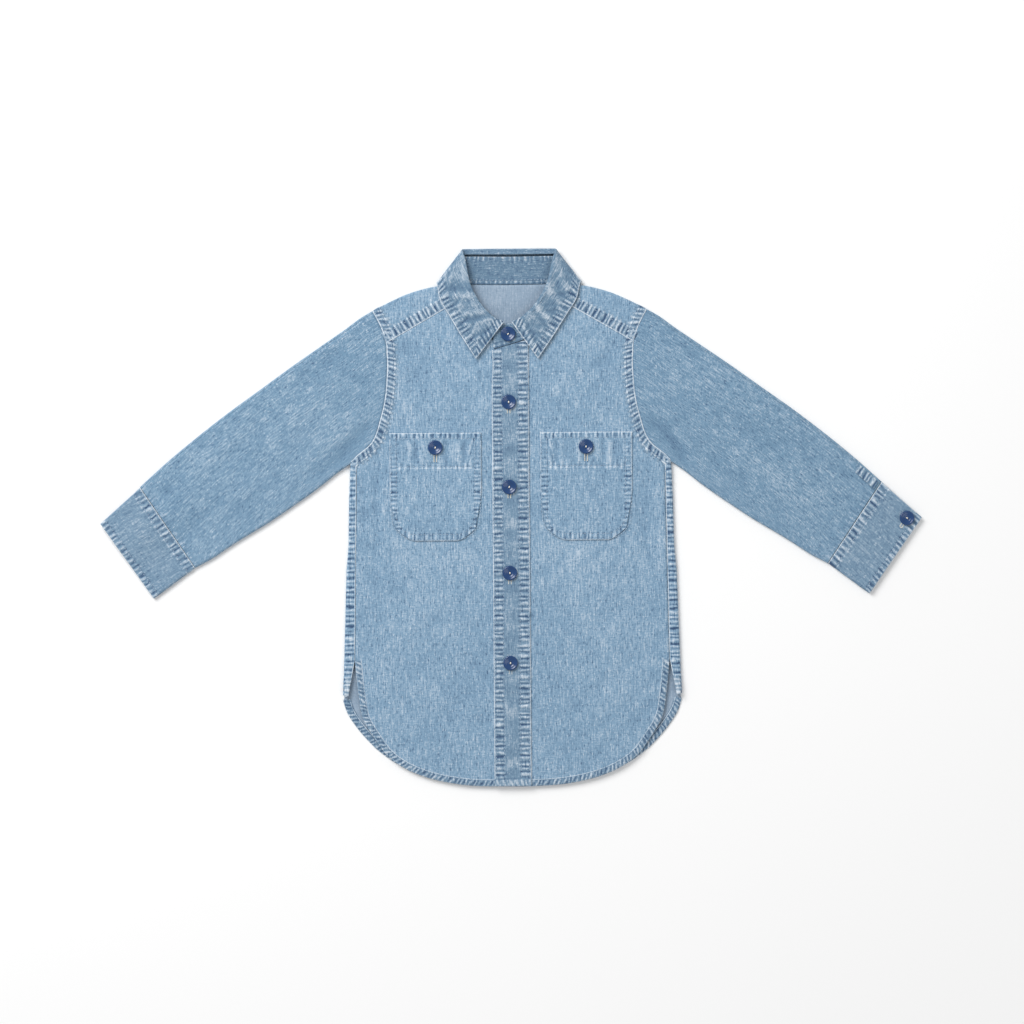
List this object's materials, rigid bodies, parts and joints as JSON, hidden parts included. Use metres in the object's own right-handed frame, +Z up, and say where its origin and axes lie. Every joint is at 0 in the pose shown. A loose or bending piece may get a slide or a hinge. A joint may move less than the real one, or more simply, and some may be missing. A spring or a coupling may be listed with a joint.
{
  "type": "child's long-sleeved work shirt",
  "caption": "Small button-front work shirt in light washed denim with a pointed collar, a shoulder yoke, patch pockets on the chest and a curved hem, buttoned up and laid flat.",
  "frame": {"origin": "on the surface that the shirt lies on, under the middle of its outline", "axes": "+Z up from the surface through the shirt's front, +Y from the hem to the collar, +X towards the wearer's left sleeve"},
  "size_m": [0.7806, 0.5112, 0.0109],
  "materials": {
    "denim": "light stone-washed cotton denim, matt, with pale seam ridges and darker blue valleys",
    "buttons": "glossy navy blue"
  },
  "bodies": {
    "root": {"back_panel": "denim", "yoke": "denim", "front_left": "denim", "front_right": "denim", "front_placket": "denim", "collar_stand": "denim", "collar_leaf": "denim", "sleeve_left": "denim", "sleeve_right": "denim", "cuff_left": "denim", "cuff_right": "denim", "sleeve_vent_binding_left": "denim", "sleeve_vent_binding_right": "denim", "pocket_left": "denim", "pocket_right": "denim", "side_gusset_left": "denim", "side_gusset_right": "denim", "button_collar": "buttons", "button_front_1": "buttons", "button_front_2": "buttons", "button_front_3": "buttons", "button_front_4": "buttons", "button_pocket_left": "buttons", "button_pocket_right": "buttons", "button_cuff_left": "buttons", "button_cuff_right": "buttons"}
  },
  "joints": []
}
